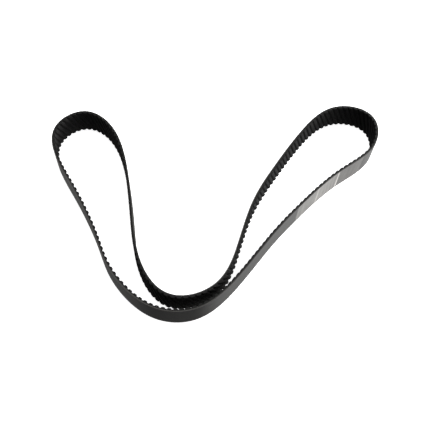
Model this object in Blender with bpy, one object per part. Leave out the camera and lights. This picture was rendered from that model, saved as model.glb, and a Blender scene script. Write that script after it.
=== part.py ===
"""Endless timing belt with slanted teeth, standing on its cut edge in a loose V-shaped loop.

The belt is built from the pitch line outwards and inwards: two tensile cords on the line, the rubber
backing outside them, and the toothed rubber with its woven facing inside them.
"""
import math

import bmesh
import bpy
import numpy as np

MM = 0.001

# Belt sizes, in metres
PITCH = 0.005
TOOTH_COUNT = 200
BELT_WIDTH = 0.025
TOOTH_HEIGHT = 0.0010
TOOTH_BASE = 0.0038
TOOTH_TIP = 0.0023
TOOTH_SLANT = math.radians(24.0)

# Layers, in metres
BACKING_THICKNESS = 0.00035
WEB_THICKNESS = 0.00030
FACING_THICKNESS = 0.00020
CORD_DIAMETER = 0.00036
BOND_GAP = 0.00014

# Cord winding
CORD_TURNS = 3
CORD_STARTS = 2
CORD_EDGE_MARGIN = 0.0020

# How closely the solids follow the bends, in metres
BEND_SAG = 0.00015
LONGEST_FACET = 0.015
WIDEST_BEND_RADIUS = 1000.0
TIGHT_BEND_RADIUS = 0.110

# Counts of steps, facets and rows of points
STEPS_PER_SPAN = 60
BACK_FACETS_PER_PITCH = 2
BEND_SAMPLES = 5
BEND_ROW_COUNT = 3
RUN_ROW_COUNT = 2

# The lay of the belt: points that its pitch line passes through, clockwise from above, in millimetres
LAY_POINTS = (
    (-121, 81.5), (-92.5, 62), (-76.5, 21), (-67.5, -20), (-57, -58.5), (-31, -85.5), (4.5, -74),
    (20.5, -38), (31, 2), (48.5, 38.5), (71, 76.5), (100, 105.5), (134, 100), (134.5, 66.5),
    (104, 37.5), (72.5, 4), (48, -27.5), (23, -64.5), (-7, -94), (-46.5, -95), (-79, -68),
    (-95.5, -37.5), (-117.5, 0), (-139, 33), (-144.5, 63.5),
)

# Depths from the pitch line, outwards positive
BACKING_INNER = CORD_DIAMETER / 2 + BOND_GAP
BACKING_OUTER = BACKING_INNER + BACKING_THICKNESS
WEB_BACK = -CORD_DIAMETER / 2 - BOND_GAP
RUBBER_LAND = WEB_BACK - WEB_THICKNESS
FACING_BACK = RUBBER_LAND - BOND_GAP
FACING_LAND = FACING_BACK - FACING_THICKNESS

BELT_LENGTH = PITCH * TOOTH_COUNT

# Colours, linear, and roughness
BLACK_RUBBER = (0.022, 0.022, 0.024)
TOOTH_BLACK = (0.014, 0.014, 0.015)
FACING_BLACK = (0.010, 0.010, 0.011)
GLASS_CORD = (0.62, 0.60, 0.54)
BACK_ROUGHNESS = 0.45
TOOTH_ROUGHNESS = 0.60
FACING_ROUGHNESS = 0.75
CORD_ROUGHNESS = 0.55
SHARP_EDGE = math.radians(25.0)


class PitchLine:
    """The closed line that the cords follow, scaled to the belt's length and cut into flat facets."""

    def __init__(self):
        points = smooth_lay()
        steps = np.linalg.norm(np.roll(points, -1, axis=0) - points, axis=1)
        scale = BELT_LENGTH / steps.sum()
        points = points * scale
        arc = np.concatenate(([0.0], np.cumsum(steps)[:-1])) * scale
        along = np.roll(points, -1, axis=0) - np.roll(points, 1, axis=0)
        along = along / np.linalg.norm(along, axis=1)[:, None]
        outward = np.stack((-along[:, 1], along[:, 0]), axis=1)
        heading = np.unwrap(np.arctan2(along[:, 1], along[:, 0]))
        self.fine_arc = arc
        self.bend = np.abs(np.gradient(heading, arc))
        self.arc = self.facet_stations()
        self.outward = self.sample(outward, arc, self.arc)
        self.points = self.sample(points, arc, self.arc)
        back = self.points + self.outward * BACKING_OUTER
        self.points = self.points - (back.min(axis=0) + back.max(axis=0)) / 2

    @staticmethod
    def sample(values, arc, wanted):
        """Values of a closed line at the wanted arc lengths."""
        columns = [np.interp(wanted, arc, values[:, k], period=BELT_LENGTH) for k in range(2)]
        return np.stack(columns, axis=-1)

    def facet_stations(self):
        """Arc lengths where the facets meet: close in the bends, far apart on the runs."""
        facet = np.sqrt(8 * BEND_SAG / np.maximum(self.bend, 1 / WIDEST_BEND_RADIUS))
        crowding = 1 / np.minimum(facet, LONGEST_FACET)
        arc = np.append(self.fine_arc, BELT_LENGTH)
        grown = np.concatenate(([0.0], np.cumsum(crowding * np.diff(arc))))
        count = math.ceil(grown[-1])
        return np.interp(np.arange(count) / count * grown[-1], grown, arc)

    def place(self, arc, depth, height):
        """A point of the belt from its arc length, its depth from the line and its height."""
        point = self.sample(self.points, self.arc, arc) + self.sample(self.outward, self.arc, arc) * depth
        return (point[0], point[1], height)

    def bends_tightly(self, arc):
        """True where the belt bends enough for a tooth to need a row of points at mid width."""
        reach = np.linspace(0.0, BELT_WIDTH * math.tan(TOOTH_SLANT), BEND_SAMPLES)
        bend = np.interp(arc - reach, self.fine_arc, self.bend, period=BELT_LENGTH)
        return bend.max() > 1 / TIGHT_BEND_RADIUS


def smooth_lay():
    """Points of the closed cubic spline that passes through the lay's points, in metres."""
    passed = np.array(LAY_POINTS, dtype=float) * MM
    own = np.eye(len(passed))
    weights = (4 * own + np.roll(own, 1, axis=0) + np.roll(own, -1, axis=0)) / 6
    control = np.linalg.solve(weights, passed)
    t = np.linspace(0.0, 1.0, STEPS_PER_SPAN, endpoint=False)[:, None]
    spans = []
    for i in range(len(control)):
        before, start, end, after = (control[(i + k) % len(control)] for k in (-1, 0, 1, 2))
        span = (1 - t) ** 3 * before + (3 * t ** 3 - 6 * t ** 2 + 4) * start
        span = span + (-3 * t ** 3 + 3 * t ** 2 + 3 * t + 1) * end + t ** 3 * after
        spans.append(span / 6)
    return np.concatenate(spans)


def clear_scene():
    for obj in list(bpy.data.objects):
        bpy.data.objects.remove(obj, do_unlink=True)


def make_material(name, colour, roughness):
    material = bpy.data.materials.new(name)
    material.use_nodes = True
    shader = material.node_tree.nodes["Principled BSDF"]
    shader.inputs["Base Color"].default_value = (*colour, 1.0)
    shader.inputs["Roughness"].default_value = roughness
    shader.inputs["Metallic"].default_value = 0.0
    return material


def add_object(name, data, material, collection):
    data.materials.append(material)
    obj = bpy.data.objects.new(name, data)
    collection.objects.link(obj)
    return obj


def add_solid(name, solid, material, collection):
    """Turn a finished bmesh into a named object, with its faces pointing out."""
    bmesh.ops.recalc_face_normals(solid, faces=solid.faces)
    mesh = bpy.data.meshes.new(name)
    solid.to_mesh(mesh)
    solid.free()
    obj = add_object(name, mesh, material, collection)
    mesh.shade_smooth()
    mesh.set_sharp_from_angle(angle=SHARP_EDGE)
    return obj


def tooth_profile(cover, land):
    """One tooth as (along, depth) corners, lying under so much cover, with its land at that depth."""
    lean = math.atan2((TOOTH_BASE - TOOTH_TIP) / 2, TOOTH_HEIGHT)
    shrink = cover * math.tan((math.pi / 2 - lean) / 2)
    base = TOOTH_BASE / 2 - shrink
    tip = TOOTH_TIP / 2 - shrink
    crest = land - TOOTH_HEIGHT
    return ((-base, land), (-tip, crest), (tip, crest), (base, land))


def toothed_columns(solid, line, profile):
    """Slanted columns of points over every tooth: (arc length at the foot, points from foot to top)."""
    columns = []
    for tooth in range(TOOTH_COUNT):
        centre = tooth * PITCH
        rows = BEND_ROW_COUNT if line.bends_tightly(centre) else RUN_ROW_COUNT
        heights = np.linspace(0.0, BELT_WIDTH, rows)
        for along, depth in profile:
            foot = centre + along
            trail = heights * math.tan(TOOTH_SLANT)
            points = [solid.verts.new(line.place(foot - t, depth, z)) for t, z in zip(trail, heights)]
            columns.append((foot, points))
    return columns


def skin_columns(solid, columns):
    """Fill the surface between neighbouring columns, which may have two or three points each."""
    for k in range(len(columns)):
        left = columns[k - 1][1]
        right = columns[k][1]
        if len(left) == len(right):
            for row in range(len(left) - 1):
                solid.faces.new((left[row], right[row], right[row + 1], left[row + 1]))
            continue
        long, short = (left, right) if len(left) > len(right) else (right, left)
        solid.faces.new((long[0], long[1], short[0]))
        solid.faces.new((long[1], long[2], short[1]))
        solid.faces.new((long[1], short[1], short[0]))


def zip_rims(solid, toothed, plain):
    """Fill the flat edge between two closed rims, each a list of (arc length, point)."""
    rims = []
    for rim in (toothed, plain):
        rims.append(sorted(((arc % BELT_LENGTH, point) for arc, point in rim), key=lambda item: item[0]))
    counts = [len(rim) for rim in rims]
    at = [0, 0]
    for _ in range(sum(counts)):
        ahead = []
        for rim, count, index in zip(rims, counts, at):
            turns, step = divmod(index + 1, count)
            ahead.append(rim[step][0] + turns * BELT_LENGTH)
        side = 0 if ahead[0] <= ahead[1] else 1
        here = [rim[index % count][1] for rim, count, index in zip(rims, counts, at)]
        at[side] += 1
        solid.faces.new((here[0], here[1], rims[side][at[side] % counts[side]][1]))


def build_backing(line, collection):
    """Plain band outside the cords: a flat ring extruded to the belt's width."""
    solid = bmesh.new()
    outer = [solid.verts.new(line.place(arc, BACKING_OUTER, 0.0)) for arc in line.arc]
    inner = [solid.verts.new(line.place(arc, BACKING_INNER, 0.0)) for arc in line.arc]
    for k in range(len(line.arc)):
        solid.faces.new((outer[k - 1], outer[k], inner[k], inner[k - 1]))
    top = bmesh.ops.extrude_face_region(solid, geom=solid.faces[:], use_keep_orig=True)
    raised = [item for item in top["geom"] if isinstance(item, bmesh.types.BMVert)]
    bmesh.ops.translate(solid, verts=raised, vec=(0.0, 0.0, BELT_WIDTH))
    material = make_material("backing_rubber", BLACK_RUBBER, BACK_ROUGHNESS)
    return add_solid("backing_rubber", solid, material, collection)


def build_tooth_rubber(line, collection):
    """Web and teeth: a slanted toothed face, a plain back against the cords, and two cut edges."""
    solid = bmesh.new()
    profile = tooth_profile(FACING_THICKNESS + BOND_GAP, RUBBER_LAND)
    columns = toothed_columns(solid, line, profile)
    skin_columns(solid, columns)
    back = []
    for k in range(TOOTH_COUNT * BACK_FACETS_PER_PITCH):
        arc = k * PITCH / BACK_FACETS_PER_PITCH
        back.append((arc, [solid.verts.new(line.place(arc, WEB_BACK, z)) for z in (0.0, BELT_WIDTH)]))
    skin_columns(solid, back)
    trail = BELT_WIDTH * math.tan(TOOTH_SLANT)
    for end, shift in ((0, 0.0), (-1, trail)):
        toothed = [(foot - shift, points[end]) for foot, points in columns]
        plain = [(arc, points[end]) for arc, points in back]
        zip_rims(solid, toothed, plain)
    material = make_material("tooth_rubber", TOOTH_BLACK, TOOTH_ROUGHNESS)
    return add_solid("tooth_rubber", solid, material, collection)


def build_tooth_facing(line, collection):
    """Woven facing: a thin skin that follows the teeth and the lands between them."""
    solid = bmesh.new()
    outside = toothed_columns(solid, line, tooth_profile(0.0, FACING_LAND))
    inside = toothed_columns(solid, line, tooth_profile(FACING_THICKNESS, FACING_BACK))
    skin_columns(solid, outside)
    skin_columns(solid, inside)
    for end in (0, -1):
        for k in range(len(outside)):
            rim = (outside[k - 1], outside[k], inside[k], inside[k - 1])
            solid.faces.new([points[end] for _, points in rim])
    material = make_material("tooth_facing", FACING_BLACK, FACING_ROUGHNESS)
    return add_solid("tooth_facing", solid, material, collection)


def cord_points(line, start_share):
    """Points of one cord, wound up the belt as a helix; the share sets where its start lies in a lead."""
    lead = (BELT_WIDTH - 2 * CORD_EDGE_MARGIN) / (CORD_TURNS + 1 / CORD_STARTS)
    lowest = CORD_EDGE_MARGIN + lead * start_share
    points = []
    for step in range(CORD_TURNS * len(line.arc) + 1):
        turn, station = divmod(step, len(line.arc))
        travelled = turn + line.arc[station] / BELT_LENGTH
        points.append(line.place(line.arc[station], 0.0, lowest + lead * travelled))
    return np.array(points)


def least_gap(points, stations):
    """Least gap of a cord to its own other turns."""
    order = np.arange(len(points))
    apart = np.abs(order[:, None] - order[None, :]) > stations // 2
    distance = np.linalg.norm(points[:, None, :] - points[None, :, :], axis=2)
    return distance[apart].min() - CORD_DIAMETER


def build_cord(line, name, start_share, collection):
    """One tensile cord: an unbroken tube wound from one edge of the belt to the other."""
    points = cord_points(line, start_share)
    curve = bpy.data.curves.new(name, "CURVE")
    curve.dimensions = "3D"
    curve.bevel_depth = CORD_DIAMETER / 2
    curve.bevel_resolution = 0
    curve.use_fill_caps = True
    spline = curve.splines.new("POLY")
    spline.points.add(len(points) - 1)
    spline.points.foreach_set("co", np.column_stack((points, np.ones(len(points)))).ravel())
    gap = least_gap(points, len(line.arc))
    print(f"{name}: least gap to itself {gap / MM:.2f} mm")
    return add_object(name, curve, make_material(name, GLASS_CORD, CORD_ROUGHNESS), collection)


def main():
    clear_scene()
    collection = bpy.data.collections.new("timing_belt")
    bpy.context.scene.collection.children.link(collection)
    line = PitchLine()
    build_backing(line, collection)
    for start, name in enumerate(("tensile_cord_s", "tensile_cord_z")):
        build_cord(line, name, start / CORD_STARTS, collection)
    build_tooth_rubber(line, collection)
    build_tooth_facing(line, collection)


main()
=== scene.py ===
"""Timing belt with slanted teeth: the finished surfaces of every layer, and a plain studio stage."""
import math

import bpy
import numpy as np
from bpy.props import FloatProperty, FloatVectorProperty, IntProperty, PointerProperty
from mathutils import Euler, Matrix, Vector


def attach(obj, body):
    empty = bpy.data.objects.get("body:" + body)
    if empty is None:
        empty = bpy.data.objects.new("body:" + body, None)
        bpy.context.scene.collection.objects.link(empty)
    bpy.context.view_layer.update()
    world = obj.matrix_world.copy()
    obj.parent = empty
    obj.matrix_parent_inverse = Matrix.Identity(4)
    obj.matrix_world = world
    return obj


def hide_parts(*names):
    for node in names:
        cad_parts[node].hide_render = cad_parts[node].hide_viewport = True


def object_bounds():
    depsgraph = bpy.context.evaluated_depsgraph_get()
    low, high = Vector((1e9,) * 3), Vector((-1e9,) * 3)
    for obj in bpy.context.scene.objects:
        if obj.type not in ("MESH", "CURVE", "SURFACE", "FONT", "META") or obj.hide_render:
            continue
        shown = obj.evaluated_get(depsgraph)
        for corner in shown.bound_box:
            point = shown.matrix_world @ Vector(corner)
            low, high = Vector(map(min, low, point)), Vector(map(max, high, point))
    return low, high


bl_info = {
    "name": "Timing Belt",
    "version": (1, 0, 0),
    "blender": (4, 5, 0),
    "location": "View3D > Sidebar > Timing Belt",
    "description": "Models an endless timing belt with slanted teeth, layer by layer",
    "category": "Add Mesh",
}

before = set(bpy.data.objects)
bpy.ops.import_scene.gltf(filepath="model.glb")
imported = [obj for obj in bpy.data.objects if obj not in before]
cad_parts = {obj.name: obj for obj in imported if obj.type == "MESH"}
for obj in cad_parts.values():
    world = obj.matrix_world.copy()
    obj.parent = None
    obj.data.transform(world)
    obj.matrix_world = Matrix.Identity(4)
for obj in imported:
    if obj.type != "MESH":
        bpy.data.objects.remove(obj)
CAD_LOW, CAD_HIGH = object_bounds()
BODY = "root"
MM = 0.001

# The lay of the belt: points that its cord line passes through, clockwise from above, in millimetres
LAY_POINTS = (
    (-121, 81.5), (-92.5, 62), (-76.5, 21), (-67.5, -20), (-57, -58.5), (-31, -85.5), (4.5, -74),
    (20.5, -38), (31, 2), (48.5, 38.5), (71, 76.5), (100, 105.5), (134, 100), (134.5, 66.5),
    (104, 37.5), (72.5, 4), (48, -27.5), (23, -64.5), (-7, -94), (-46.5, -95), (-79, -68),
    (-95.5, -37.5), (-117.5, 0), (-139, 33), (-144.5, 63.5),
)

# How finely the lay, the tooth form, the toothed layers and the cords are divided
STEPS_PER_SPAN = 80
FORM_SAMPLES = 2001
TOOTH_SEGMENTS = 14
TOOTH_INNER_ROWS = 7
FACING_SEGMENTS = 16
FACING_ROWS = 9
CORD_STEPS_PER_PITCH = 2
CORD_BEVEL_STEPS = 1

# Where the back is divided along each pitch, in shares of the pitch from its middle
BACK_CUTS = (-0.25, 0.0, 0.25)

# How far a covered tooth form is drawn in at each side of its root, in shares of the cover
ROOT_DRAW = 0.6

# Height over which the recess for the cords steps in
RECESS_STEP = 0.05 * MM

# Where each cord starts across the belt, in shares of its lead
CORD_STARTS = {"tensile_cord_s": 0.0, "tensile_cord_z": 0.5}

# Distances in metres under which points are merged, and angles past which an edge stays sharp
MERGE = 2e-6
SEAM_MERGE = 1e-5
BELT_SHARP_ANGLE = math.radians(35.0)
CORD_SHARP_ANGLE = math.radians(70.0)

# The attribute that keeps where each face corner lay on the flat strip
FLAT = "flat_strip"

# Noise: its detail, and the part of its range that a pattern is spread over
NOISE_DETAIL = 3.0
NOISE_RANGE = (0.25, 0.75)

# Ground rubber of the back: noise scales along, through and across the belt, colour shades and gloss
BACK_STREAKS = (60.0, 60.0, 1400.0)
BACK_SHADES = (0.55, 1.45)
BACK_ROUGHNESS = (0.26, 0.39)
BACK_SHEEN = (1.0, 0.97, 0.925)
BACK_RELIEF = 0.04 * MM
CUT_EDGE_ROUGHNESS = 0.65
# Grain and shades of the pale colour, which is both the print lines and a painted sheen across the back
PRINT_AND_SHEEN_GRAIN = (480.0, 60.0, 40.0)
PRINT_AND_SHEEN_SHADES = (0.6, 1.4)

# Pale bands across the back, print lines and painted sheen: where each starts along the belt, in
# millimetres, and how pale it is
# The 2 mm bands at 561.5 and 587 mm are print lines; the wider bands from 534 to 614 mm are a painted
# sheen
PRINT_AND_SHEEN_BANDS = ((534.0, 0.18), (561.5, 1.0), (563.5, 0.37), (587.0, 0.60), (589.0, 0.28), (614.0, 0.0))

# Cut rubber of the teeth
RUBBER_GRAIN = (2500.0, 2500.0, 2500.0)
RUBBER_SHADES = (0.7, 1.5)
RUBBER_ROUGHNESS = (0.7, 0.85)
RUBBER_SPECULAR = 0.15
RUBBER_RELIEF = 0.03 * MM

# Woven facing
THREAD_SCALE = 620.0
THREAD_WAVER = 0.4
THREAD_DETAIL = 1.0
FACING_SHADES = (0.6, 1.4)
FACING_ROUGHNESS = 0.75
FACING_SPECULAR = 0.13
FACING_RELIEF = 0.04 * MM
FACING_RELIEF_STRENGTH = 0.6

# Glass fibre cord
FIBRE_SCALE = 4000.0
CORD_SHADES = (0.7, 1.1)
CORD_ROUGHNESS = 0.45
CORD_RELIEF = 0.03 * MM

# Floor and surroundings: the glow runs from left to right, as share of the way and brightness
WHITE = (1.0, 1.0, 1.0)
FLOOR_SIZE = 12.0
FLOOR_ROUGHNESS = 0.9
FLOOR_GLOW = 0.8
STUDIO_GLOW = ((0.0, 0.40), (0.24, 0.30), (0.34, 0.10), (0.52, 0.17), (0.66, 0.13), (0.735, 1.0))

# Lights: name, place and size in metres, and power in watts, with the point that they face
LIGHTS = (
    ("overhead", (0.0, 0.4, 1.3), (2.0, 1.4), 16.0),
    ("right_softbox", (0.9, 0.55, 0.35), (0.5, 0.4), 30.0),
)
LIGHT_AIM = Vector((0.0, 0.0, 0.02))

# Camera: the point that it looks at, in metres, and its sensor in millimetres
CAMERA_TARGET = Vector((0.00324, -0.00464, 0.0))
SENSOR_WIDTH = 36.0


class BeltSizes(bpy.types.PropertyGroup):
    """Sizes of the belt and its layers"""
    pitch: FloatProperty(
        name="Pitch", description="Distance from tooth to tooth on the cord line",
        default=5.0 * MM, min=1.0 * MM, unit="LENGTH")
    teeth: IntProperty(name="Teeth", description="Number of teeth", default=200, min=20)
    width: FloatProperty(
        name="Width", description="Width of the belt between its cut edges",
        default=CAD_HIGH.z - CAD_LOW.z, min=2.0 * MM, unit="LENGTH")
    slant: FloatProperty(
        name="Tooth slant", description="Lean of the teeth across the width",
        default=math.radians(24.0), subtype="ANGLE")
    tooth_height: FloatProperty(
        name="Tooth height", description="Height of a tooth over the land",
        default=1.0 * MM, unit="LENGTH")
    crest: FloatProperty(
        name="Crest", description="Half width of a tooth's flat crest",
        default=0.96 * MM, unit="LENGTH")
    root: FloatProperty(
        name="Root", description="Half width of a tooth where it runs out into the land",
        default=2.09 * MM, unit="LENGTH")
    back: FloatProperty(
        name="Back", description="Depth of the back outside the cord line",
        default=0.67 * MM, unit="LENGTH")
    land: FloatProperty(
        name="Land", description="Depth of the land between teeth inside the cord line",
        default=0.96 * MM, unit="LENGTH")
    facing: FloatProperty(
        name="Facing", description="Thickness of the woven facing",
        default=0.20 * MM, unit="LENGTH")
    cord: FloatProperty(
        name="Cord", description="Diameter of a tensile cord",
        default=0.36 * MM, unit="LENGTH")
    cord_turns: IntProperty(name="Cord turns", description="Turns of each cord", default=12, min=1)
    edge_lip: FloatProperty(
        name="Edge lip", description="Solid rubber between the cord layer and a cut edge",
        default=0.6 * MM, unit="LENGTH")
    joint: FloatProperty(
        name="Joint", description="Half gap of the bond lines between layers",
        default=0.01 * MM, unit="LENGTH")


class BeltFinish(bpy.types.PropertyGroup):
    """Colours of the belt's layers"""
    back_colour: FloatVectorProperty(
        name="Back", description="Colour of the ground rubber back",
        default=(0.0205, 0.020, 0.019), size=3, subtype="COLOR", min=0.0, max=1.0)
    edge_colour: FloatVectorProperty(
        name="Tooth rubber", description="Colour of the tooth rubber at the cut edges",
        default=(0.0045, 0.0045, 0.0043), size=3, subtype="COLOR", min=0.0, max=1.0)
    facing_colour: FloatVectorProperty(
        name="Facing", description="Colour of the woven facing",
        default=(0.005, 0.005, 0.005), size=3, subtype="COLOR", min=0.0, max=1.0)
    cord_colour: FloatVectorProperty(
        name="Cord", description="Colour of the glass fibre cord",
        default=(0.62, 0.60, 0.54), size=3, subtype="COLOR", min=0.0, max=1.0)
    # The pale colour paints both the print lines and the painted sheen bands on the back
    print_and_sheen_colour: FloatVectorProperty(
        name="Print and sheen", description="Colour of the plain bands across the back",
        default=(0.62, 0.60, 0.57), size=3, subtype="COLOR", min=0.0, max=1.0)


class BeltStage(bpy.types.PropertyGroup):
    """Camera and floor of the stage"""
    elevation: FloatProperty(
        name="Elevation", description="Height of the camera over the horizon",
        default=math.radians(61.62), subtype="ANGLE")
    roll: FloatProperty(
        name="Roll", description="Turn of the camera about its own view",
        default=math.radians(4.11), subtype="ANGLE")
    distance: FloatProperty(
        name="Distance", description="Distance of the camera from its target",
        default=0.5813, unit="LENGTH")
    lens: FloatProperty(
        name="Lens", description="Focal length in millimetres",
        default=56.27, unit="CAMERA")
    floor_colour: FloatVectorProperty(
        name="Floor", description="Colour of the floor",
        default=(0.90, 0.90, 0.90), size=3, subtype="COLOR", min=0.0, max=1.0)


def only(obj):
    """Make one object the only selected and the active one."""
    bpy.ops.object.select_all(action="DESELECT")
    obj.select_set(True)
    bpy.context.view_layer.objects.active = obj


def lay_line(sizes):
    """Arc lengths and points along the closed cord line, with the back centred on the CAD box."""
    passed = np.array(LAY_POINTS, dtype=float) * MM
    own = np.eye(len(passed))
    weights = (4 * own + np.roll(own, 1, axis=0) + np.roll(own, -1, axis=0)) / 6
    control = np.linalg.solve(weights, passed)
    t = np.linspace(0.0, 1.0, STEPS_PER_SPAN, endpoint=False)[:, None]
    spans = []
    for i in range(len(control)):
        before, start, end, after = (control[(i + k) % len(control)] for k in (-1, 0, 1, 2))
        span = (1 - t) ** 3 * before + (3 * t ** 3 - 6 * t ** 2 + 4) * start
        span = span + (-3 * t ** 3 + 3 * t ** 2 + 3 * t + 1) * end + t ** 3 * after
        spans.append(span / 6)
    points = np.concatenate(spans)
    steps = np.linalg.norm(np.roll(points, -1, axis=0) - points, axis=1)
    scale = sizes.pitch * sizes.teeth / steps.sum()
    points = points * scale
    arc = np.concatenate(([0.0], np.cumsum(steps)[:-1])) * scale
    along = np.roll(points, -1, axis=0) - np.roll(points, 1, axis=0)
    along = along / np.linalg.norm(along, axis=1)[:, None]
    outward = np.stack((-along[:, 1], along[:, 0]), axis=1)
    back = points + outward * sizes.back
    middle = np.array((CAD_LOW + CAD_HIGH).xy) / 2
    points = points - (back.min(axis=0) + back.max(axis=0)) / 2 + middle
    return arc, points


def fill_spline(curve, plan, rise):
    """Give a curve one straight-sided spline through points in plan at their heights."""
    spline = curve.splines.new("POLY")
    spline.points.add(len(plan) - 1)
    rows = np.column_stack((plan, rise, np.ones(len(plan))))
    spline.points.foreach_set("co", rows.ravel())
    return spline


def belt_path(sizes):
    """A closed flat curve along the cord line, to bend strips on."""
    _, points = lay_line(sizes)
    curve = bpy.data.curves.new("belt_path", "CURVE")
    curve.dimensions = "2D"
    curve.fill_mode = "NONE"
    curve.use_deform_bounds = False
    spline = fill_spline(curve, points, np.zeros(len(points)))
    spline.use_cyclic_u = True
    path = bpy.data.objects.new("belt_path", curve)
    bpy.context.scene.collection.objects.link(path)
    return path


def keep_flat_coordinates(mesh):
    """Store where each face corner lay on the flat strip, for patterns that follow the belt."""
    co = np.empty(len(mesh.vertices) * 3)
    mesh.vertices.foreach_get("co", co)
    corner = np.empty(len(mesh.loops), dtype=np.int32)
    mesh.loops.foreach_get("vertex_index", corner)
    flat = mesh.attributes.new(FLAT, "FLOAT_VECTOR", "CORNER")
    flat.data.foreach_set("vector", co.reshape(-1, 3)[corner].ravel().astype(np.float32))


def close_mesh(threshold, sharp_angle):
    """Merge the active mesh's doubles, turn its faces outwards and smooth all but its sharp edges."""
    bpy.ops.object.mode_set(mode="EDIT")
    bpy.ops.mesh.select_all(action="SELECT")
    bpy.ops.mesh.remove_doubles(threshold=threshold)
    bpy.ops.mesh.normals_make_consistent(inside=False)
    bpy.ops.object.mode_set(mode="OBJECT")
    bpy.ops.object.shade_smooth_by_angle(angle=sharp_angle)


def lay_strip(strip, sizes):
    """Repeat one pitch to the belt's length, bend it along the lay and close its seam."""
    only(strip)
    array = strip.modifiers.new("pitches", "ARRAY")
    array.count = sizes.teeth
    array.use_relative_offset = False
    array.use_constant_offset = True
    array.constant_offset_displace = (sizes.pitch, 0.0, 0.0)
    array.use_merge_vertices = True
    array.merge_threshold = MERGE
    bpy.ops.object.modifier_apply(modifier=array.name)
    keep_flat_coordinates(strip.data)
    path = belt_path(sizes)
    bend = strip.modifiers.new("lay", "CURVE")
    bend.object = path
    bend.deform_axis = "POS_X"
    bpy.ops.object.modifier_apply(modifier=bend.name)
    bpy.data.objects.remove(path, do_unlink=True)
    close_mesh(SEAM_MERGE, BELT_SHARP_ANGLE)


def select_faces(obj, wanted):
    """Select the faces of an object that the test wants, and nothing else, in edit mode."""
    only(obj)
    bpy.ops.object.mode_set(mode="EDIT")
    bpy.ops.mesh.select_mode(type="FACE")
    bpy.ops.mesh.select_all(action="DESELECT")
    bpy.ops.object.mode_set(mode="OBJECT")
    for face in obj.data.polygons:
        face.select = wanted(face)
    bpy.ops.object.mode_set(mode="EDIT")


def open_ends(cell, sizes, lean=0.0):
    """Delete the end faces of a one-pitch cell with so much lean, so that copies join into one skin."""
    half = sizes.pitch / 2

    def at_an_end(face):
        corners = [cell.data.vertices[i].co for i in face.vertices]
        places = [co.x + co.z * lean for co in corners]
        one_sided = len({place > 0 for place in places}) == 1
        return one_sided and all(abs(abs(place) - half) < MERGE for place in places)

    select_faces(cell, at_an_end)
    bpy.ops.mesh.delete(type="FACE")
    bpy.ops.object.mode_set(mode="OBJECT")


def tooth_samples(sizes, segments):
    """Evenly spaced samples along one pitch of the tooth form: (along, share of the tooth height)."""
    along = np.linspace(-sizes.pitch / 2, sizes.pitch / 2, FORM_SAMPLES)
    rise = np.clip((sizes.root - np.abs(along)) / (sizes.root - sizes.crest), 0.0, 1.0)
    share = rise * rise * (3 - 2 * rise)
    height = share * sizes.tooth_height
    steps = np.hypot(np.diff(along), np.diff(height))
    length = np.concatenate(([0.0], np.cumsum(steps)))
    wanted = np.linspace(0.0, length[-1], segments + 1)
    return np.interp(wanted, length, along), np.interp(wanted, length, share)


def covered(along, cover, sizes):
    """Where a sample lies along the belt once the form is drawn in under so much cover."""
    drawn_in = sizes.root - ROOT_DRAW * cover
    far = np.abs(along)
    run_out = (far - sizes.root) / (sizes.pitch / 2 - sizes.root)
    outside = drawn_in + run_out * (sizes.pitch / 2 - drawn_in)
    return np.sign(along) * np.where(far < sizes.root, far * drawn_in / sizes.root, outside)


def tooth_cell(name, sizes, rows, segments, front_cover, back_cover=None):
    """One pitch of a toothed layer: a ribbon shaped to the tooth form and drawn up along the slant.

    The front follows the form under front_cover. The back follows it under back_cover, or where none is
    given lies flat along the bond line of the cord layer.
    """
    lean = math.tan(sizes.slant)
    bpy.ops.object.select_all(action="DESELECT")
    bpy.ops.mesh.primitive_grid_add(x_subdivisions=segments, y_subdivisions=1, size=1.0)
    cell = bpy.context.object
    cell.name = name
    cell.data.name = name
    along, share = tooth_samples(sizes, segments)
    for vertex in cell.data.vertices:
        k = round((vertex.co.x + 0.5) * segments)
        cover = front_cover if vertex.co.y < 0 else back_cover
        if cover is None:
            vertex.co = (along[k], -sizes.joint, 0.0)
        else:
            depth = cover - sizes.land - share[k] * sizes.tooth_height
            vertex.co = (covered(along[k], cover, sizes), depth, 0.0)
    bpy.ops.object.mode_set(mode="EDIT")
    bpy.ops.mesh.select_all(action="SELECT")
    for low, high in zip(rows[:-1], rows[1:]):
        rise = high - low
        shift = (-rise * lean, 0.0, rise)
        bpy.ops.mesh.extrude_region_move(TRANSFORM_OT_translate={"value": shift})
    bpy.ops.object.mode_set(mode="OBJECT")
    open_ends(cell, sizes, lean)
    return cell


def finish_piece(piece, material, slot, *nodes):
    """Give a piece its material and its body, and hide the parts that it stands for."""
    piece.data.materials.clear()
    piece.data.materials.append(material)
    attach(piece, BODY)
    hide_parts(*nodes)


def node_tools(tree):
    """Short helpers to add nodes and to join sockets in one node tree."""
    def add(kind, **inputs):
        node = tree.nodes.new(kind)
        for key, value in inputs.items():
            node.inputs[key].default_value = value
        return node

    return add, tree.links.new


def new_material(name):
    """A new node material with its shader and its tree's helpers."""
    material = bpy.data.materials.new(name)
    material.use_nodes = True
    tree = material.node_tree
    return material, tree.nodes["Principled BSDF"], *node_tools(tree)


def flat_vector(add, link, stretch=(1.0, 1.0, 1.0)):
    """The flat strip's coordinates, scaled along, through and across the belt."""
    flat = add("ShaderNodeAttribute")
    flat.attribute_name = FLAT
    scale = add("ShaderNodeMapping", Scale=stretch)
    link(flat.outputs["Vector"], scale.inputs["Vector"])
    return scale.outputs["Vector"]


def noise(add, link, vector, scale=1.0):
    """A noise value at a place."""
    node = add("ShaderNodeTexNoise", Scale=scale, Detail=NOISE_DETAIL)
    link(vector, node.inputs["Vector"])
    return node.outputs["Fac"]


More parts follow.
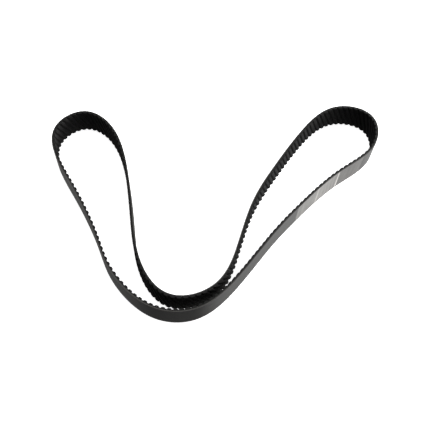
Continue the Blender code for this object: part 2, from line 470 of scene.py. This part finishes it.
def mapped(add, link, value, source, target=(0.0, 1.0)):
    """A value taken from one range to another and held inside it."""
    node = add("ShaderNodeMapRange")
    for end, place, wanted in zip(("Min", "Max"), source, target):
        node.inputs["From " + end].default_value = place
        node.inputs["To " + end].default_value = wanted
    link(value, node.inputs["Value"])
    return node.outputs["Result"]


def mixed_colour(add, link, factor, first, second):
    """A colour between two, each a socket or plain values, by a factor socket."""
    mix = add("ShaderNodeMix")
    mix.data_type = "RGBA"
    for key, colour in (("A", first), ("B", second)):
        if isinstance(colour, bpy.types.NodeSocket):
            link(colour, mix.inputs[key])
        else:
            mix.inputs[key].default_value = (*colour, 1.0)
    link(factor, mix.inputs["Factor"])
    return mix.outputs["Result"]


def shaded(add, link, factor, colour, shades):
    """A colour from its darker to its lighter shade, by a factor socket."""
    darker, lighter = ([channel * shade for channel in colour] for shade in shades)
    return mixed_colour(add, link, factor, darker, lighter)


def combined(add, link, operation, first, second):
    """Two values combined by a math operation."""
    node = add("ShaderNodeMath")
    node.operation = operation
    link(first, node.inputs[0])
    link(second, node.inputs[1])
    return node.outputs["Value"]


def bump(add, link, shader, height, distance, strength=1.0):
    """Raise a shader's surface by a height value over so much distance."""
    node = add("ShaderNodeBump", Strength=strength, Distance=distance)
    link(height, node.inputs["Height"])
    link(node.outputs["Normal"], shader.inputs["Normal"])


def set_ramp(ramp, stops):
    """Fill a colour ramp with grey stops."""
    while len(ramp.elements) < len(stops):
        ramp.elements.new(1.0)
    for element, (place, grey) in zip(ramp.elements, stops):
        element.position = place
        element.color = (grey, grey, grey, 1.0)


def print_and_sheen_share(add, link, place):
    """How pale the back is at a place along the belt, in bands of print lines and painted sheen."""
    reach = PRINT_AND_SHEEN_BANDS[-1][0] - PRINT_AND_SHEEN_BANDS[0][0]
    low = PRINT_AND_SHEEN_BANDS[0][0] - reach
    high = PRINT_AND_SHEEN_BANDS[-1][0] + reach
    stops = [((start - low) / (high - low), pale) for start, pale in PRINT_AND_SHEEN_BANDS]
    ramp = add("ShaderNodeValToRGB")
    ramp.color_ramp.interpolation = "CONSTANT"
    set_ramp(ramp.color_ramp, [(0.0, 0.0), *stops])
    link(mapped(add, link, place, (low * MM, high * MM)), ramp.inputs["Fac"])
    return ramp.outputs["Color"]


def back_material(finish, sizes):
    """Ground rubber: fine streaks along the belt, a soft sheen, pale print lines and painted sheen bands,
    and matt cut edges.
    """
    material, shader, add, link = new_material("ground_rubber_back")
    streaks = noise(add, link, flat_vector(add, link, BACK_STREAKS))
    tone = mapped(add, link, streaks, NOISE_RANGE)
    plain = shaded(add, link, tone, finish.back_colour, BACK_SHADES)
    grain = mapped(add, link, noise(add, link, flat_vector(add, link, PRINT_AND_SHEEN_GRAIN)), NOISE_RANGE)
    pale = shaded(add, link, grain, finish.print_and_sheen_colour, PRINT_AND_SHEEN_SHADES)
    flat = add("ShaderNodeSeparateXYZ")
    link(flat_vector(add, link), flat.inputs["Vector"])
    # One on the back face, and nothing on the cut edges
    outermost = (sizes.back - 2 * sizes.joint, sizes.back - sizes.joint)
    on_back = mapped(add, link, flat.outputs["Y"], outermost)
    # Pale colour on the back face: print lines, and a painted sheen in the wider bands
    banded = combined(add, link, "MULTIPLY", print_and_sheen_share(add, link, flat.outputs["X"]), on_back)
    link(mixed_colour(add, link, banded, plain, pale), shader.inputs["Base Color"])
    roughness = add("ShaderNodeMapRange")
    roughness.inputs["To Min"].default_value = CUT_EDGE_ROUGHNESS
    link(mapped(add, link, streaks, NOISE_RANGE, BACK_ROUGHNESS), roughness.inputs["To Max"])
    link(on_back, roughness.inputs["Value"])
    link(roughness.outputs["Result"], shader.inputs["Roughness"])
    shader.inputs["Specular Tint"].default_value = (*BACK_SHEEN, 1.0)
    bump(add, link, shader, streaks, BACK_RELIEF)
    return material


def rubber_material(finish):
    """Cut rubber: matt and slightly torn."""
    material, shader, add, link = new_material("cut_tooth_rubber")
    grain = noise(add, link, flat_vector(add, link, RUBBER_GRAIN))
    tone = mapped(add, link, grain, NOISE_RANGE)
    link(shaded(add, link, tone, finish.edge_colour, RUBBER_SHADES), shader.inputs["Base Color"])
    link(mapped(add, link, grain, NOISE_RANGE, RUBBER_ROUGHNESS), shader.inputs["Roughness"])
    shader.inputs["Specular IOR Level"].default_value = RUBBER_SPECULAR
    bump(add, link, shader, grain, RUBBER_RELIEF)
    return material


def facing_material(finish):
    """Woven nylon: crossing threads with a dull sheen."""
    material, shader, add, link = new_material("woven_tooth_facing")
    strip = flat_vector(add, link)
    threads = []
    for direction in ("X", "Z"):
        wave = add("ShaderNodeTexWave", Scale=THREAD_SCALE, Distortion=THREAD_WAVER, Detail=THREAD_DETAIL)
        wave.bands_direction = direction
        link(strip, wave.inputs["Vector"])
        threads.append(wave.outputs["Fac"])
    weave = combined(add, link, "MAXIMUM", *threads)
    link(shaded(add, link, weave, finish.facing_colour, FACING_SHADES), shader.inputs["Base Color"])
    shader.inputs["Roughness"].default_value = FACING_ROUGHNESS
    shader.inputs["Specular IOR Level"].default_value = FACING_SPECULAR
    bump(add, link, shader, weave, FACING_RELIEF, FACING_RELIEF_STRENGTH)
    return material


def cord_material(finish):
    """Twisted glass fibre cord."""
    material, shader, add, link = new_material("glass_fibre_cord")
    fibre = noise(add, link, add("ShaderNodeTexCoord").outputs["Object"], FIBRE_SCALE)
    tone = mapped(add, link, fibre, NOISE_RANGE)
    link(shaded(add, link, tone, finish.cord_colour, CORD_SHADES), shader.inputs["Base Color"])
    shader.inputs["Roughness"].default_value = CORD_ROUGHNESS
    bump(add, link, shader, fibre, CORD_RELIEF)
    return material


def add_floor(stage):
    """A pale floor that glows slightly and isn't mirrored in the belt."""
    bpy.ops.object.select_all(action="DESELECT")
    bpy.ops.mesh.primitive_plane_add(size=FLOOR_SIZE, location=(0.0, 0.0, 0.0))
    floor = bpy.context.object
    floor.name = "floor"
    material, shader, _, _ = new_material("pale_floor")
    shader.inputs["Base Color"].default_value = (*stage.floor_colour, 1.0)
    shader.inputs["Roughness"].default_value = FLOOR_ROUGHNESS
    shader.inputs["Emission Color"].default_value = (*WHITE, 1.0)
    shader.inputs["Emission Strength"].default_value = FLOOR_GLOW
    floor.data.materials.append(material)
    floor.visible_diffuse = False
    floor.visible_glossy = False


def add_surroundings(scene):
    """Surroundings that are brighter to the right, and plain white where the camera sees them."""
    world = bpy.data.worlds.new("studio")
    world.use_nodes = True
    add, link = node_tools(world.node_tree)
    direction = add("ShaderNodeSeparateXYZ")
    link(add("ShaderNodeTexCoord").outputs["Generated"], direction.inputs["Vector"])
    glow = add("ShaderNodeValToRGB")
    set_ramp(glow.color_ramp, STUDIO_GLOW)
    link(mapped(add, link, direction.outputs["X"], (-1.0, 1.0)), glow.inputs["Fac"])
    from_camera = add("ShaderNodeLightPath").outputs["Is Camera Ray"]
    seen = mixed_colour(add, link, from_camera, glow.outputs["Color"], WHITE)
    link(seen, world.node_tree.nodes["Background"].inputs["Color"])
    scene.world = world
    scene.view_settings.view_transform = "Standard"


def add_lights(scene):
    """Area lights that face the belt."""
    for name, place, size, watts in LIGHTS:
        lamp = bpy.data.lights.new(name, "AREA")
        lamp.shape = "RECTANGLE"
        lamp.size, lamp.size_y = size
        lamp.energy = watts
        light = bpy.data.objects.new(name, lamp)
        light.location = place
        towards = LIGHT_AIM - Vector(place)
        light.rotation_euler = towards.to_track_quat("-Z", "Y").to_euler()
        scene.collection.objects.link(light)


def add_camera(scene, stage):
    """A camera in front of the belt that looks down on it, slightly rolled."""
    camera_data = bpy.data.cameras.new("camera")
    camera_data.sensor_width = SENSOR_WIDTH
    camera_data.lens = stage.lens
    camera_data.dof.use_dof = False
    camera = bpy.data.objects.new("camera", camera_data)
    away = Vector((0.0, -math.cos(stage.elevation), math.sin(stage.elevation)))
    camera.location = CAMERA_TARGET + away * stage.distance
    tilt = Euler((math.pi / 2 - stage.elevation, 0.0, 0.0)).to_matrix()
    camera.rotation_euler = (tilt @ Matrix.Rotation(stage.roll, 3, "Z")).to_euler()
    scene.collection.objects.link(camera)
    scene.camera = camera


class TIMINGBELT_OT_stage(bpy.types.Operator):
    """Set the floor, the surroundings, the lights and the camera"""
    bl_idname = "timing_belt.stage"
    bl_label = "Stage"

    def execute(self, context):
        stage = context.scene.belt_stage
        add_floor(stage)
        add_surroundings(context.scene)
        add_lights(context.scene)
        add_camera(context.scene, stage)
        return {"FINISHED"}


class TIMINGBELT_OT_backing(bpy.types.Operator):
    """Model the smooth rubber back"""
    bl_idname = "timing_belt.backing"
    bl_label = "Rubber back"

    def execute(self, context):
        sizes = context.scene.belt_sizes
        lip = sizes.edge_lip
        thickness = sizes.back - sizes.joint
        middle = (0.0, sizes.joint + thickness / 2, sizes.width / 2)
        block = (sizes.pitch, thickness, sizes.width)
        bpy.ops.object.select_all(action="DESELECT")
        bpy.ops.mesh.primitive_cube_add(size=1.0, location=middle, scale=block)
        cell = context.object
        cell.name = "belt_back"
        cell.data.name = "belt_back"
        bpy.ops.object.transform_apply(location=True, rotation=True, scale=True)
        bpy.ops.object.mode_set(mode="EDIT")
        cuts = [((share * sizes.pitch, 0.0, 0.0), (1.0, 0.0, 0.0)) for share in BACK_CUTS]
        heights = (lip, sizes.width / 2, sizes.width - lip)
        cuts += [((0.0, 0.0, height), (0.0, 0.0, 1.0)) for height in heights]
        for place, direction in cuts:
            bpy.ops.mesh.select_all(action="SELECT")
            bpy.ops.mesh.bisect(plane_co=place, plane_no=direction)
        bpy.ops.object.mode_set(mode="OBJECT")

        def over_cords(face):
            inside = abs(face.center.y - sizes.joint) < MERGE
            return inside and lip < face.center.z < sizes.width - lip

        select_faces(cell, over_cords)
        recess = (0.0, sizes.cord / 2 + sizes.joint, 0.0)
        bpy.ops.mesh.extrude_region_move(TRANSFORM_OT_translate={"value": recess})
        bpy.ops.object.mode_set(mode="OBJECT")
        open_ends(cell, sizes)
        lay_strip(cell, sizes)
        material = back_material(context.scene.belt_finish, sizes)
        finish_piece(cell, material, "backing_rubber", "backing_rubber")
        return {"FINISHED"}


class TIMINGBELT_OT_cords(bpy.types.Operator):
    """Model the two tensile cords as unbroken windings"""
    bl_idname = "timing_belt.cords"
    bl_label = "Tensile cords"

    def execute(self, context):
        sizes = context.scene.belt_sizes
        arc, points = lay_line(sizes)
        length = sizes.pitch * sizes.teeth
        margin = sizes.edge_lip + sizes.cord
        lead = (sizes.width - 2 * margin) / (sizes.cord_turns + max(CORD_STARTS.values()))
        steps = CORD_STEPS_PER_PITCH * sizes.teeth
        turns = np.arange(sizes.cord_turns * steps + 1) / steps
        sides = [np.interp(turns * length, arc, side, period=length) for side in points.T]
        plan = np.column_stack(sides)
        material = cord_material(context.scene.belt_finish)
        for name, start in CORD_STARTS.items():
            curve = bpy.data.curves.new(name + "_winding", "CURVE")
            curve.dimensions = "3D"
            curve.bevel_depth = sizes.cord / 2
            curve.bevel_resolution = CORD_BEVEL_STEPS
            curve.use_fill_caps = True
            fill_spline(curve, plan, margin + lead * (start + turns))
            cord = bpy.data.objects.new(name + "_winding", curve)
            context.scene.collection.objects.link(cord)
            only(cord)
            bpy.ops.object.convert(target="MESH")
            close_mesh(MERGE, CORD_SHARP_ANGLE)
            finish_piece(cord, material, "tensile_cord", name)
        return {"FINISHED"}


class TIMINGBELT_OT_tooth_rubber(bpy.types.Operator):
    """Model the web and the slanted rubber teeth"""
    bl_idname = "timing_belt.tooth_rubber"
    bl_label = "Tooth rubber"

    def execute(self, context):
        sizes = context.scene.belt_sizes
        low, high = sizes.edge_lip, sizes.width - sizes.edge_lip
        inner = np.linspace(low + RECESS_STEP, high - RECESS_STEP, TOOTH_INNER_ROWS)
        rows = [0.0, low, *inner, high, sizes.width]
        cover = sizes.facing + 2 * sizes.joint
        cell = tooth_cell("belt_teeth", sizes, rows, TOOTH_SEGMENTS, cover)
        recess = -sizes.cord / 2 - 2 * sizes.joint
        for vertex in cell.data.vertices:
            at_back = abs(vertex.co.y + sizes.joint) < MERGE
            if at_back and low + RECESS_STEP / 2 < vertex.co.z < high - RECESS_STEP / 2:
                vertex.co.y = recess
        lay_strip(cell, sizes)
        finish_piece(cell, rubber_material(context.scene.belt_finish), "tooth_rubber", "tooth_rubber")
        return {"FINISHED"}


class TIMINGBELT_OT_tooth_facing(bpy.types.Operator):
    """Model the woven facing over the teeth"""
    bl_idname = "timing_belt.tooth_facing"
    bl_label = "Tooth facing"

    def execute(self, context):
        sizes = context.scene.belt_sizes
        rows = np.linspace(0.0, sizes.width, FACING_ROWS)
        cell = tooth_cell("belt_facing", sizes, rows, FACING_SEGMENTS, 0.0, sizes.facing)
        lay_strip(cell, sizes)
        finish_piece(cell, facing_material(context.scene.belt_finish), "tooth_facing", "tooth_facing")
        return {"FINISHED"}


class TIMINGBELT_PT_panel(bpy.types.Panel):
    """Timing belt pieces"""
    bl_idname = "TIMINGBELT_PT_panel"
    bl_label = "Timing Belt"
    bl_space_type = "VIEW_3D"
    bl_region_type = "UI"
    bl_category = "Timing Belt"

    def draw(self, context):
        for operator in OPERATORS:
            self.layout.operator(operator.bl_idname)


OPERATORS = (
    TIMINGBELT_OT_stage,
    TIMINGBELT_OT_backing,
    TIMINGBELT_OT_cords,
    TIMINGBELT_OT_tooth_rubber,
    TIMINGBELT_OT_tooth_facing,
)
CLASSES = (BeltSizes, BeltFinish, BeltStage, *OPERATORS, TIMINGBELT_PT_panel)


def register():
    """Register the classes and give the scene their settings."""
    for cls in CLASSES:
        bpy.utils.register_class(cls)
    bpy.types.Scene.belt_sizes = PointerProperty(type=BeltSizes)
    bpy.types.Scene.belt_finish = PointerProperty(type=BeltFinish)
    bpy.types.Scene.belt_stage = PointerProperty(type=BeltStage)


def unregister():
    """Take the settings off the scene and unregister the classes."""
    del bpy.types.Scene.belt_stage
    del bpy.types.Scene.belt_finish
    del bpy.types.Scene.belt_sizes
    for cls in reversed(CLASSES):
        bpy.utils.unregister_class(cls)


def main():
    """Build the stage and every piece."""
    register()
    bpy.ops.timing_belt.stage()
    bpy.ops.timing_belt.backing()
    bpy.ops.timing_belt.cords()
    bpy.ops.timing_belt.tooth_rubber()
    bpy.ops.timing_belt.tooth_facing()


if __name__ == "__main__":
    main()
